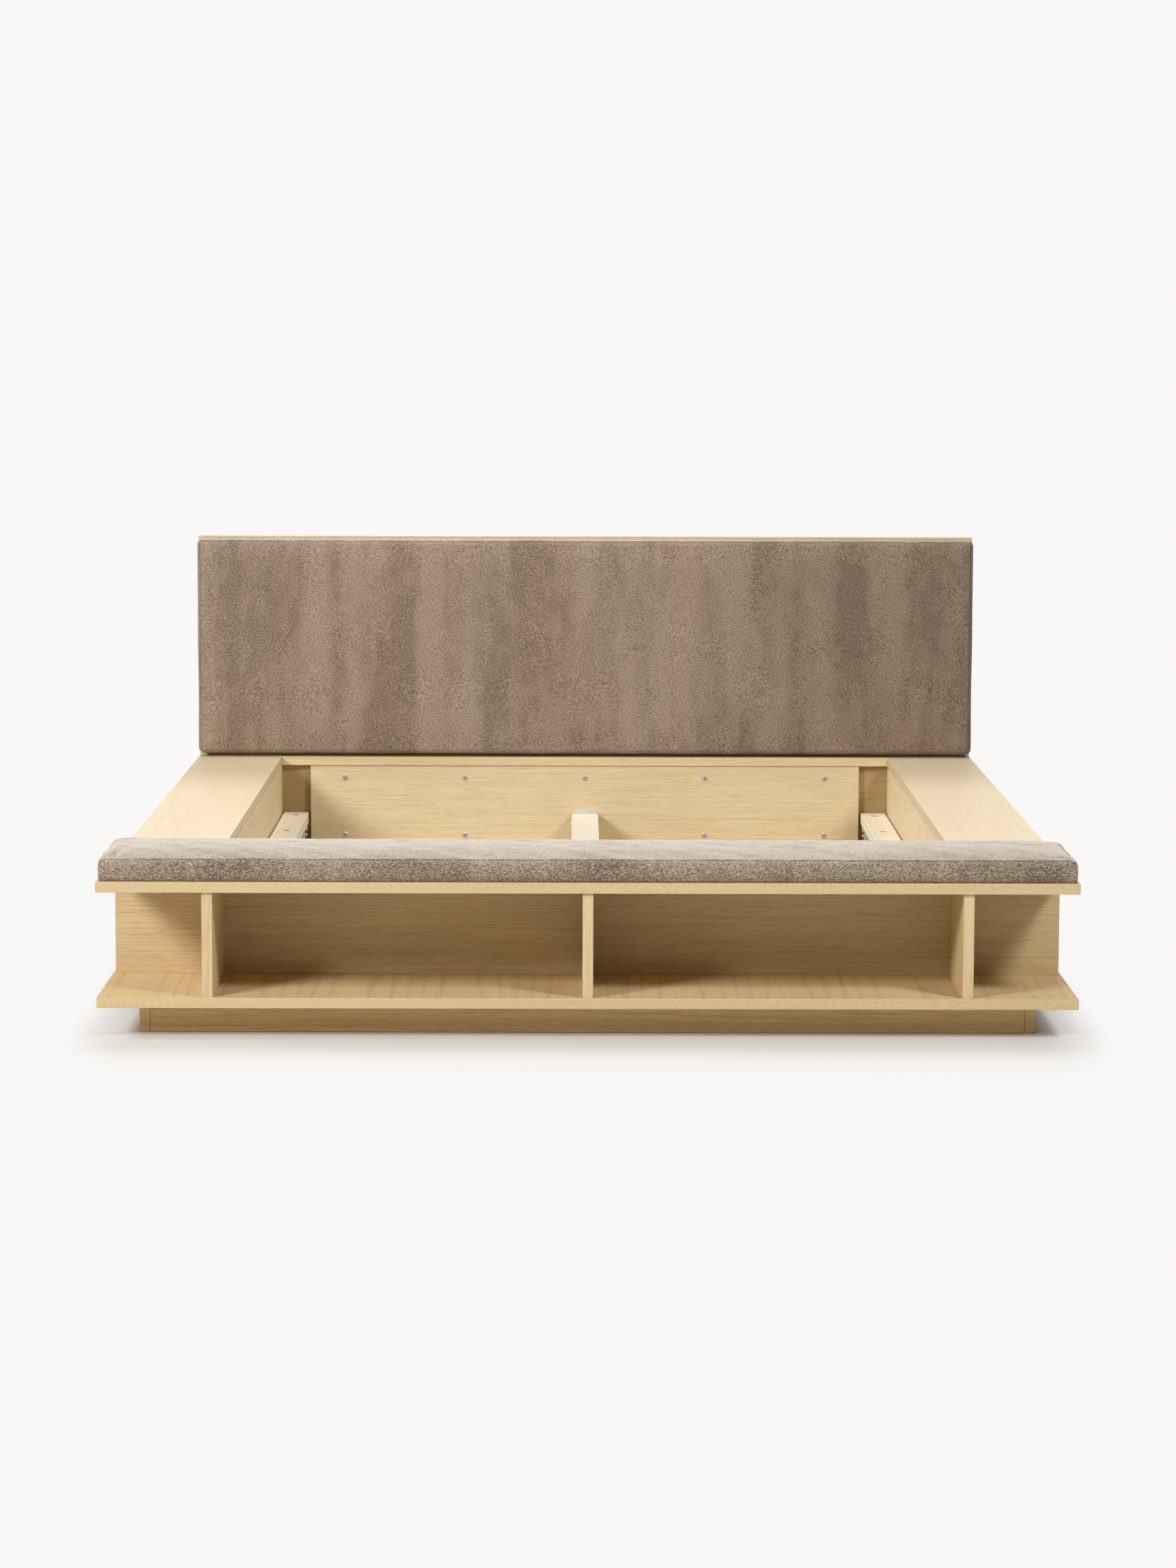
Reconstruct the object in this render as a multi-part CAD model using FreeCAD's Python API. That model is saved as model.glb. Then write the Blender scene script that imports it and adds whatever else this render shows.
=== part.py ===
import FreeCAD, Part
import math
import os

from FreeCAD import Vector

# Driving dimensions, in millimetres.

# Carcass boards
board = 22.0
edge_round = 1.0
recess_width = 1610.0
platform_width = 220.0
recess_length = 2020.0
bay_height = 221.0
bench_depth = 311.0
headboard_rise = 584.0
carcass_inset = 6.0
divider_setback = 6.0
ledge_overhang = 6.0
head_base_depth = 140.0

# Plinth
plinth_height = 64.0
plinth_inset = 81.0
plinth_round = 5.0
corner_block = 40.0

# Connector panel at the head and its bolts
connector_gap = 76.5
connector_bolt_margin = 91.5
connector_pitch = 318.5
connector_row_inset = 34.0
bolt_head_r = 7.5
bolt_head_height = 2.2
bolt_head_bevel = 1.0
bolt_shank_r = 3.0
bolt_socket = 4.0
bolt_socket_depth = 1.6
connector_bolt_reach = 12.0
sleeve_r = 4.5
sleeve_flange_r = 7.5
sleeve_flange_height = 2.0
sleeve_wall = 4.0

# Ribs in the side boxes and the bolts that hold them
rib_margin = 50.0
rib_pitch = 320.0
side_bolt_drop = 55.5
side_bolt_sink = 3.0
side_bolt_room = 0.6
barrel_nut_r = 5.0
barrel_nut_depth = 34.0
barrel_nut_inset = 3.0
bolt_tip = 4.0

# Dowels
dowel_r = 4.0
dowel_in_board = 11.0
dowel_in_panel = 18.0
dowel_end_margin = 60.0
back_panel_dowels = 6
side_panel_dowels = 4
divider_dowels = 2

# Support rails and their notched brackets
rail_drop = 150.0
rail_width = 65.0
rail_thickness = 28.0
rail_gap = 5.0
rail_end_gap = 1.0
rail_hole_margin = 63.0
rail_hole_pitch = 320.0
counterbore_r = 10.0
counterbore_depth = 15.0
rail_bolt_head_r = 8.0
rail_bolt_head_height = 5.0
rail_bolt_r = 4.0
steel = 2.5
flange_width = 36.0
bracket_drop = 54.0
notch_count = 3
notch_r = 3.65
notch_pitch = 14.6
lobe_round = 3.0
horn_width = 13.0
horn_gap = 5.0
pin_r = 3.0
pin_drop = 8.5
pin_inset = 6.5
pin_end = 1.5
leg_half_width = 6.0
leg_gap = 0.5
saddle_width = 24.0
weld_nut_r = 7.0
weld_nut_height = 5.0
nut_clearance = 3.0
bracket_screw_r = 2.0
bracket_screw_head_r = 4.0
bracket_screw_head_height = 2.0
bracket_screw_length = 16.0
bracket_screw_offset = 10.0
bracket_screw_margin = 12.0

# Centre beam, its shoes, leg and levelling foot
beam_width = 70.0
beam_height = 44.0
beam_end_gap = 4.0
shoe_steel = 3.0
shoe_rise = 10.0
shoe_top_width = 57.0
shoe_width = 63.0
shoe_corner_drop = 6.0
shoe_seat = 45.0
shoe_screw_spacing = 26.0
shoe_screw_top_margin = 5.0
shoe_screw_row_gap = 30.0
shoe_screw_r = 2.0
shoe_screw_head_r = 3.4
shoe_screw_head_height = 2.0
shoe_screw_length = 16.0
seat_pin_r = 4.0
seat_pin_rise = 12.0
seat_pin_spacing = 36.0
cross_bolt_drop = 26.0
cross_bolt_from_end = 30.0
cross_bolt_r = 3.0
cross_bolt_head_r = 5.0
cross_bolt_head_height = 2.5
leg_r = 25.0
foot_r = 22.0
foot_height = 12.0
foot_rim = 6.0
foot_neck_r = 11.0
foot_travel = 10.0
foot_stem_r = 4.0
foot_stem_length = 30.0
stud_r = 4.0
stud_reach = 25.0

# Headboard pad
pad_thickness = 50.0
pad_bottom_gap = 6.5
pad_top_gap = 4.0
pad_edge_round = 12.0
pad_corner_round = 14.0
backing_thickness = 12.0
backing_inset = 25.0
pad_screw_columns = 4
pad_screw_margin = 150.0
pad_screw_r = 2.5
pad_screw_head_r = 5.0
pad_screw_head_height = 2.5
pad_screw_reach = 9.0

# Bench cushion
cushion_end_gap = 4.0
cushion_front_gap = 6.0
cushion_depth = 314.0
cushion_seam_height = 46.0
cushion_crown = 12.0
cushion_shoulder_run = 45.0
cushion_shoulder_drop = 3.0
cushion_shoulder_round = 2.0
cushion_side_bulge = 5.0
cushion_end_draw = 2.0
cushion_end_lift = 0.3
cushion_end_round = 16.0
cushion_round_draw = 0.5
cushion_round_lift = 0.75
cushion_corner_run = 60.0

# Clearances
fit_clear = 0.15
hole_clear = 0.3
seat_clear = 0.1
cut_past = 1.0

# Places along X, from the middle
recess_half = recess_width / 2
half_width = recess_half + platform_width
inner_side_out = recess_half + board
outer_side_out = half_width - carcass_inset
outer_side_in = outer_side_out - board
connector_half = recess_half - connector_gap
plinth_half = half_width - plinth_inset
rail_out = recess_half - rail_gap
rail_in = rail_out - rail_width
rail_mid = (rail_out + rail_in) / 2

# Places along Y, from the foot to the head
boards_across = 4  # bench back, connector panel, end board and headboard
bed_depth = bench_depth + recess_length + ledge_overhang + boards_across * board
foot = -bed_depth / 2
bay_back = foot + bench_depth
recess_foot = bay_back + board
ledge_front = recess_foot + recess_length
connector_front = ledge_front + ledge_overhang
end_board_front = connector_front + board
headboard_front = end_board_front + board
headboard_rear = headboard_front + board
recess_mid = (recess_foot + ledge_front) / 2
plinth_front = foot + plinth_inset
plinth_rear = headboard_front - plinth_inset
rail_foot = recess_foot + rail_end_gap
rail_head = end_board_front - rail_end_gap
beam_foot = recess_foot + shoe_steel + beam_end_gap
beam_head = connector_front - shoe_steel - beam_end_gap

# Places along Z, from the floor
shelf_top = plinth_height + board
deck_under = shelf_top + bay_height
deck_top = deck_under + board
head_top = deck_top + headboard_rise
rail_top = deck_top - rail_drop
rail_under = rail_top - rail_thickness
beam_under = rail_top - beam_height
side_bolt_z = deck_top - side_bolt_drop
leg_under = foot_height + foot_travel

X_AXIS = Vector(1, 0, 0)
Y_AXIS = Vector(0, 1, 0)
Z_AXIS = Vector(0, 0, 1)
UP = 1
DOWN = -1
SAME_PLACE = 0.01
FULL_TURN = 360
HEXAGON = 6


def box(x, y, z):
    """Plain block between pairs of limits."""
    size = [high - low for low, high in (x, y, z)]
    return Part.makeBox(*size, Vector(x[0], y[0], z[0]))


def plank(x, y, z):
    """Board with softened edges."""
    shape = box(x, y, z)
    return shape.makeFillet(edge_round, shape.Edges)


def rod(radius, start, axis, length):
    return Part.makeCylinder(radius, length, start, axis)


def turned(profile, start, axis):
    """Solid of revolution: profile is a list of (radius, distance along the axis from start)."""
    points = [Vector(radius, 0, along) for radius, along in profile]
    face = Part.Face(Part.makePolygon(points + points[:1]))
    shape = face.revolve(Vector(0, 0, 0), Z_AXIS, FULL_TURN)
    shape.Placement = FreeCAD.Placement(start, FreeCAD.Rotation(Z_AXIS, axis))
    return shape


def spread(low, high, count):
    """Evenly spaced places from low to high."""
    return [low + (high - low) * i / (count - 1) for i in range(count)]


def row(low, high, pitch):
    """Places from low to high, as near to the pitch as whole steps allow."""
    return spread(low, high, max(1, round((high - low) / pitch)) + 1)


def runs_along(edge, axis):
    """Whether an edge is parallel to an axis."""
    return edge.tangentAt(edge.FirstParameter).cross(axis).Length < SAME_PLACE


def mirrored(shape):
    """The same piece on the other side of the bed."""
    return shape.mirror(Vector(0, 0, 0), X_AXIS)


def cut_all(shape, tools):
    return shape.cut(Part.makeCompound(tools)) if tools else shape


def save(name, shapes):
    """Write one node; a list is a group of separate solids."""
    solids = shapes if isinstance(shapes, list) else [shapes]
    shape = solids[0] if len(solids) == 1 else Part.makeCompound(solids)
    shape.exportStep("parts/" + name + ".step")


def save_pair(name, shapes):
    """Write the right hand node and its mirror image."""
    solids = shapes if isinstance(shapes, list) else [shapes]
    save(name + "_right", solids)
    save(name + "_left", [mirrored(solid) for solid in solids])


def socket_bolt(start, axis, length):
    """Flat headed bolt with a hexagon socket; start is under the head, on its seat."""
    top = -bolt_head_height
    rim = top + bolt_head_bevel
    head = [(0, top), (bolt_head_r - bolt_head_bevel, top), (bolt_head_r, rim), (bolt_head_r, 0)]
    shank = [(bolt_shank_r, 0), (bolt_shank_r, length), (0, length)]
    shape = turned(head + shank, Vector(), Z_AXIS)
    corner_r = bolt_socket / math.sqrt(3)
    turns = [math.radians(FULL_TURN / HEXAGON * i) for i in range(HEXAGON)]
    corners = [Vector(corner_r * math.cos(turn), corner_r * math.sin(turn), top - cut_past) for turn in turns]
    hexagon = Part.Face(Part.makePolygon(corners + corners[:1]))
    shape = shape.cut(hexagon.extrude(Z_AXIS * (bolt_socket_depth + cut_past)))
    shape.Placement = FreeCAD.Placement(start, FreeCAD.Rotation(Z_AXIS, axis))
    return shape


def pan_bolt(start, axis, head_r, head_height, shank_r, length):
    """Round headed bolt or screw; start is under the head."""
    return turned([(0, -head_height), (head_r, -head_height), (head_r, 0), (shank_r, 0),
                   (shank_r, length), (0, length)], start, axis)


def sunk_screw(start, axis, head_r, head_height, shank_r, length):
    """Countersunk screw, flush with start."""
    return turned([(0, 0), (head_r, 0), (shank_r, head_height), (shank_r, length), (0, length)], start, axis)


def sunk_hole(start, axis, head_r, head_height, shank_r, length):
    """Hole for the countersunk screw of the same sizes."""
    wide, narrow, end = head_r + fit_clear, shank_r + fit_clear, length + fit_clear
    profile = [(0, -cut_past), (wide, -cut_past), (wide, 0), (narrow, head_height), (narrow, end), (0, end)]
    return turned(profile, start, axis)


class Dowels:
    """Upright dowels through the joint between a lying board and a standing panel."""

    def __init__(self):
        self.pins = []
        self.holes = []

    def add(self, x, y, joint_z, board_side):
        below, above = dowel_in_panel, dowel_in_board
        if board_side == DOWN:
            below, above = above, below
        self.pins.append(rod(dowel_r, Vector(x, y, joint_z - below), Z_AXIS, below + above))
        self.holes.append(rod(dowel_r + fit_clear, Vector(x, y, joint_z - below - hole_clear), Z_AXIS,
                              below + above + 2 * hole_clear))


def plinth():
    """Recessed base: front and rear boards between two side boards, with a block in each corner."""
    side = box((plinth_half - board, plinth_half), (plinth_front, plinth_rear), (0, plinth_height))
    corner_edges = [edge for edge in side.Edges
                    if all(abs(v.X - plinth_half) < SAME_PLACE for v in edge.Vertexes)
                    and runs_along(edge, Z_AXIS)]
    save_pair("plinth_side", side.makeFillet(plinth_round, corner_edges))
    inner = plinth_half - board
    save("plinth_front", box((-inner, inner), (plinth_front, plinth_front + board), (0, plinth_height)))
    save("plinth_rear", box((-inner, inner), (plinth_rear - board, plinth_rear), (0, plinth_height)))
    blocks = []
    for y in (plinth_front + board, plinth_rear - board - corner_block):
        block = box((inner - corner_block, inner), (y, y + corner_block), (0, plinth_height))
        blocks += [block, mirrored(block)]
    save("plinth_corner_blocks", blocks)


def bench():
    """Foot bench: shelf, back panel, dividers and top, pinned with dowels."""
    dowels = Dowels()
    divider_centres = [-(recess_half - board / 2), 0.0, recess_half - board / 2]
    divider_front = foot + divider_setback
    divider_places = spread(divider_front + dowel_end_margin, bay_back - dowel_end_margin, divider_dowels)
    back_end = outer_side_out - dowel_end_margin
    places = [(x, y) for x in divider_centres for y in divider_places]
    places += [(x, bay_back + board / 2) for x in spread(-back_end, back_end, back_panel_dowels)]
    for x, y in places:
        dowels.add(x, y, shelf_top, DOWN)
        dowels.add(x, y, deck_under, UP)
    save("bench_dowels", dowels.pins)
    whole_width = (-half_width, half_width)
    depth = (foot, recess_foot)
    save("bench_shelf", cut_all(plank(whole_width, depth, (plinth_height, shelf_top)), dowels.holes))
    save("bench_top", cut_all(plank(whole_width, depth, (deck_under, deck_top)), dowels.holes))
    bay = (shelf_top, deck_under)
    shoe_holes = [hole for _, hole in shoe_fixings(recess_foot, -1)]
    back = plank((-outer_side_out, outer_side_out), (bay_back, recess_foot), bay)
    save("bench_back_panel", cut_all(back, dowels.holes + shoe_holes))
    for name, x in zip(("left", "centre", "right"), divider_centres):
        divider = plank((x - board / 2, x + board / 2), (divider_front, bay_back), bay)
        save("bench_divider_" + name, cut_all(divider, dowels.holes))


def side_boxes():
    """Wide side platforms on closed boxes: base board, inner and outer panels, ribs and platform top."""
    bay = (shelf_top, deck_under)
    length = (recess_foot, end_board_front)
    dowels = Dowels()
    first, last = recess_foot + dowel_end_margin, end_board_front - dowel_end_margin
    dowel_places = spread(first, last, side_panel_dowels)
    for x in (recess_half + board / 2, outer_side_in + board / 2):
        for y in dowel_places:
            dowels.add(x, y, shelf_top, DOWN)
            dowels.add(x, y, deck_under, UP)
    save_pair("side_dowels", dowels.pins)
    wide = (recess_half, half_width)
    to_headboard = (recess_foot, headboard_front)
    save_pair("base_board", cut_all(plank(wide, to_headboard, (plinth_height, shelf_top)), dowels.holes))
    save_pair("platform", cut_all(plank(wide, to_headboard, (deck_under, deck_top)), dowels.holes))
    save_pair("outer_side", cut_all(plank((outer_side_in, outer_side_out), length, bay), dowels.holes))

    bolt_seat = recess_half + side_bolt_sink
    nut_x = inner_side_out + barrel_nut_depth
    bolt_length = nut_x + barrel_nut_r + bolt_tip - bolt_seat
    bolts, nuts, ribs, panel_holes = [], [], [], []
    for y in row(recess_foot + rib_margin, ledge_front - rib_margin, rib_pitch):
        seat = Vector(bolt_seat, y, side_bolt_z)
        bolts.append(socket_bolt(seat, X_AXIS, bolt_length))
        shank_hole = rod(bolt_shank_r + hole_clear, seat, X_AXIS, bolt_length + hole_clear)
        head_hole = rod(bolt_head_r + side_bolt_room, Vector(recess_half - cut_past, y, side_bolt_z), X_AXIS,
                        side_bolt_sink + cut_past)
        panel_holes += [shank_hole, head_hole]
        half_nut = board / 2 - barrel_nut_inset
        nut = rod(barrel_nut_r, Vector(nut_x, y - half_nut, side_bolt_z), Y_AXIS, 2 * half_nut)
        nuts.append(nut.cut(rod(bolt_shank_r + fit_clear, seat, X_AXIS, bolt_length + hole_clear)))
        rib = plank((inner_side_out, outer_side_in), (y - board / 2, y + board / 2), bay)
        nut_hole = rod(barrel_nut_r + fit_clear, Vector(nut_x, y - board / 2 - cut_past, side_bolt_z), Y_AXIS,
                       board + 2 * cut_past)
        ribs.append(cut_all(rib, [shank_hole, nut_hole]))
    panel = plank((recess_half, inner_side_out), length, bay)
    save_pair("inner_side", cut_all(panel, dowels.holes + panel_holes + bracket_screw_holes()))
    save_pair("side_ribs", ribs)
    save_pair("side_bolts", bolts)
    save_pair("barrel_nuts", nuts)


def head_end():
    """Head of the frame: base board, end board, connector panel, ledge and headboard, bolted through."""
    bay = (shelf_top, deck_under)
    outer_column = connector_half - connector_bolt_margin
    columns = row(-outer_column, outer_column, connector_pitch)
    rows = (deck_under - connector_row_inset, shelf_top + connector_row_inset)
    reach = 2 * board + connector_bolt_reach
    sleeve_length = board - sleeve_wall
    bolts, sleeves, through, headboard_holes = [], [], [], []
    for x in columns:
        for z in rows:
            seat = Vector(x, connector_front, z)
            rear = Vector(x, headboard_rear, z)
            bolts.append(socket_bolt(seat, Y_AXIS, reach))
            through.append(rod(bolt_shank_r + hole_clear, seat, Y_AXIS, reach + hole_clear))
            sleeve = turned([(0, 0), (sleeve_flange_r, 0), (sleeve_flange_r, sleeve_flange_height),
                             (sleeve_r, sleeve_flange_height), (sleeve_r, sleeve_length), (0, sleeve_length)],
                            rear, -Y_AXIS)
            past = rear + Y_AXIS * cut_past
            sleeves.append(sleeve.cut(rod(bolt_shank_r + fit_clear, past, -Y_AXIS, board)))
            headboard_holes += [
                rod(sleeve_r + fit_clear, past, -Y_AXIS, sleeve_length + hole_clear + cut_past),
                rod(sleeve_flange_r + fit_clear, past, -Y_AXIS, sleeve_flange_height + cut_past),
                rod(bolt_shank_r + hole_clear, Vector(x, headboard_front - cut_past, z), Y_AXIS, board)]
    save("connector_bolts", bolts)
    save("connector_sleeve_nuts", sleeves)

    shoe_holes = [hole for _, hole in shoe_fixings(connector_front, 1)]
    connector = plank((-connector_half, connector_half), (connector_front, end_board_front), bay)
    save("head_connector_panel", cut_all(connector, through + shoe_holes))
    end_board = plank((-outer_side_out, outer_side_out), (end_board_front, headboard_front), bay)
    save("head_end_board", cut_all(end_board, through))
    between = (-recess_half, recess_half)
    save("head_base_board", plank(between, (headboard_front - head_base_depth, headboard_front),
                                  (plinth_height, shelf_top)))
    save("head_ledge", plank(between, (ledge_front, headboard_front), (deck_under, deck_top)))

    screws, screw_holes = pad_screws()
    headboard = plank((-half_width, half_width), (headboard_front, headboard_rear), (plinth_height, head_top))
    save("headboard_panel", cut_all(headboard, headboard_holes + screw_holes))
    headboard_pad(screws, screw_holes)


def pad_screws():
    """Screws from behind through the headboard into the pad's backing board, with their holes."""
    low = deck_top + pad_bottom_gap + pad_screw_margin
    high = head_top - pad_top_gap - pad_screw_margin
    length = board + pad_screw_reach
    screws, holes = [], []
    for x in spread(-half_width + pad_screw_margin, half_width - pad_screw_margin, pad_screw_columns):
        for z in (low, high):
            sizes = (Vector(x, headboard_rear, z), -Y_AXIS, pad_screw_head_r, pad_screw_head_height,
                     pad_screw_r, length)
            screws.append(sunk_screw(*sizes))
            holes.append(sunk_hole(*sizes))
    return screws, holes


def headboard_pad(screws, screw_holes):
    """Upholstered pad: rounded cover and filling over a backing board set in from behind."""
    low, high = deck_top + pad_bottom_gap, head_top - pad_top_gap
    front = headboard_front - pad_thickness
    pad = box((-half_width, half_width), (front, headboard_front), (low, high))
    corners = [edge for edge in pad.Edges if runs_along(edge, Y_AXIS)]
    pad = pad.makeFillet(pad_corner_round, corners)
    front_edges = [edge for edge in pad.Edges
                   if all(abs(v.Y - front) < SAME_PLACE for v in edge.Vertexes)]
    pad = pad.makeFillet(pad_edge_round, front_edges)
    backing_half = half_width - backing_inset
    backing = box((-backing_half, backing_half), (headboard_front - backing_thickness, headboard_front),
                  (low + backing_inset, high - backing_inset))
    save("headboard_pad", pad.cut(backing))
    save("pad_backing", cut_all(backing, screw_holes))
    save("pad_screws", screws)


def bracket_screw_places():
    """Two screws in each wall flange, one on each side of the web."""
    low = rail_under - bracket_drop + bracket_screw_margin
    high = rail_under - horn_gap - weld_nut_height - bracket_screw_margin
    return [(y + side * bracket_screw_offset, z)
            for y in rail_hole_places() for side, z in ((1, low), (-1, high))]


def bracket_screw_holes():
    start = recess_half - steel - cut_past
    return [rod(bracket_screw_r + fit_clear, Vector(start, y, z), X_AXIS,
                cut_past + bracket_screw_length + hole_clear) for y, z in bracket_screw_places()]


def rail_hole_places():
    return row(rail_foot + rail_hole_margin, rail_head - rail_hole_margin, rail_hole_pitch)


def rail_bracket(y):
    """Steel angle on the inner side: wall flange and a web with a notched edge and a seat for the pin."""
    tip = rail_in
    wall = recess_half - steel
    low, high = rail_under - bracket_drop, rail_under - horn_gap
    shoulder = rail_under - steel - weld_nut_height - nut_clearance
    half = steel / 2
    web = box((tip, wall), (y - half, y + half), (low, high))
    web = web.cut(box((tip + horn_width, recess_half), (y - steel, y + steel), (shoulder, high + cut_past)))
    notches = []
    for i in range(notch_count):
        z = rail_under - pin_drop - pin_r - notch_r - notch_pitch * i - steel
        start = Vector(tip + notch_r, y - steel, z)
        notches += [rod(notch_r, start, Y_AXIS, 2 * steel),
                    box((tip - cut_past, tip + notch_r), (y - steel, y + steel), (z - notch_r, z + notch_r))]
    web = cut_all(web, notches)
    lobe_edges = [edge for edge in web.Edges
                  if all(abs(v.X - tip) < SAME_PLACE for v in edge.Vertexes)
                  and runs_along(edge, Y_AXIS)
                  and low + cut_past < edge.Vertexes[0].Z < high - cut_past]
    web = web.makeFillet(lobe_round, lobe_edges)
    pin_x, pin_z = tip + pin_inset, rail_under - pin_drop
    seat = rod(pin_r + seat_clear, Vector(pin_x, y - steel, pin_z), Y_AXIS, 2 * steel)
    mouth = box((pin_x - pin_r - seat_clear, pin_x + pin_r + seat_clear), (y - steel, y + steel),
                (pin_z, high + cut_past))
    web = cut_all(web, [seat, mouth])
    flange = box((wall, recess_half), (y - flange_width / 2, y + flange_width / 2), (low, shoulder))
    return flange.fuse(web).removeSplitter()


def rail_saddle(y):
    """Steel clip under the rail: tab with a weld nut, and two legs that hold the pin astride the web."""
    pin_x, pin_z = rail_in + pin_inset, rail_under - pin_drop
    tab_z = (rail_under - steel, rail_under)
    start = pin_x - leg_half_width
    shape = box((start, rail_mid + weld_nut_r + steel), (y - saddle_width / 2, y + saddle_width / 2), tab_z)
    inner = steel / 2 + leg_gap
    for low, high in ((inner, inner + steel), (-inner - steel, -inner)):
        shape = shape.fuse(box((start, pin_x + leg_half_width), (y + low, y + high),
                               (pin_z - leg_half_width, rail_under - steel)))
    nut_under = tab_z[0] - weld_nut_height
    shape = shape.fuse(rod(weld_nut_r, Vector(rail_mid, y, nut_under), Z_AXIS, weld_nut_height))
    bolt_hole = rod(rail_bolt_r + fit_clear, Vector(rail_mid, y, rail_under + cut_past), -Z_AXIS,
                    steel + weld_nut_height + 2 * cut_past)
    pin_hole = rod(pin_r + seat_clear, Vector(pin_x, y - saddle_width, pin_z), Y_AXIS, 2 * saddle_width)
    shape = cut_all(shape, [bolt_hole, pin_hole])
    return shape.removeSplitter()


def support_rails():
    """Flat rails along both sides, hung on notched brackets by saddles with pins."""
    places = rail_hole_places()
    rail = plank((rail_in, rail_out), (rail_foot, rail_head), (rail_under, rail_top))
    bolt_seat = rail_top - counterbore_depth
    bolt_length = rail_thickness - counterbore_depth + steel + weld_nut_height - hole_clear
    holes, bolts, pins = [], [], []
    pin_half = steel / 2 + leg_gap + steel + pin_end
    for y in places:
        seat = Vector(rail_mid, y, bolt_seat)
        holes += [rod(counterbore_r, seat, Z_AXIS, counterbore_depth + cut_past),
                  rod(rail_bolt_r + fit_clear, seat, -Z_AXIS, rail_thickness)]
        bolts.append(pan_bolt(seat, -Z_AXIS, rail_bolt_head_r, rail_bolt_head_height,
                              rail_bolt_r, bolt_length))
        pins.append(rod(pin_r, Vector(rail_in + pin_inset, y - pin_half, rail_under - pin_drop), Y_AXIS,
                        2 * pin_half))
    save_pair("support_rail", cut_all(rail, holes))
    save_pair("rail_bolts", bolts)
    save_pair("rail_pins", pins)
    save_pair("rail_saddles", [rail_saddle(y) for y in places])

    screw_holes = bracket_screw_holes()
    save_pair("rail_brackets", [cut_all(rail_bracket(y), screw_holes) for y in places])
    head = Vector(recess_half - steel, 0, 0)
    save_pair("bracket_screws", [pan_bolt(head + Vector(0, y, z), X_AXIS, bracket_screw_head_r,
                                          bracket_screw_head_height, bracket_screw_r,
                                          bracket_screw_length) for y, z in bracket_screw_places()])


def shoe_fixings(wall, outward):
    """Countersunk screws of one beam shoe and their holes; outward is the way from the shoe into the wall."""
    axis = Y_AXIS * outward
    high = rail_top + shoe_rise - shoe_screw_top_margin
    pairs = []
    for x in (-shoe_screw_spacing / 2, shoe_screw_spacing / 2):
        for z in (high, high - shoe_screw_row_gap):
            face = Vector(x, wall - outward * shoe_steel, z)
            sizes = (face, axis, shoe_screw_head_r, shoe_screw_head_height, shoe_screw_r, shoe_screw_length)
            pairs.append((sunk_screw(*sizes), sunk_hole(*sizes)))
    return pairs


def beam_shoe(wall, outward):
    """Steel angle that carries a beam end: back plate with cut corners and a seat with two pins."""
    low = beam_under - shoe_steel
    high = rail_top + shoe_rise
    half, top_half, corner_z = shoe_width / 2, shoe_top_width / 2, high - shoe_corner_drop
    outline = [Vector(-half, 0, low), Vector(half, 0, low), Vector(half, 0, corner_z),
               Vector(top_half, 0, high), Vector(-top_half, 0, high), Vector(-half, 0, corner_z)]
    plate = Part.Face(Part.makePolygon(outline + outline[:1])).extrude(Y_AXIS * (-outward * shoe_steel))
    plate.translate(Vector(0, wall, 0))
    near, far = sorted((wall, wall - outward * shoe_seat))
    shoe = plate.fuse(box((-half, half), (near, far), (low, beam_under))).removeSplitter()
    pin_y = wall - outward * (shoe_seat + shoe_steel) / 2
    pins = []
    for x in (-seat_pin_spacing / 2, seat_pin_spacing / 2):
        start = Vector(x, pin_y, low)
        pins.append(rod(seat_pin_r, start, Z_AXIS, shoe_steel + seat_pin_rise))
        below = start - Z_AXIS * cut_past
        shoe = shoe.cut(rod(seat_pin_r + seat_clear, below, Z_AXIS, shoe_steel + 2 * cut_past))
    fixings = shoe_fixings(wall, outward)
    shoe = cut_all(shoe, [hole for _, hole in fixings])
    return shoe, pins, [screw for screw, _ in fixings]


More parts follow.
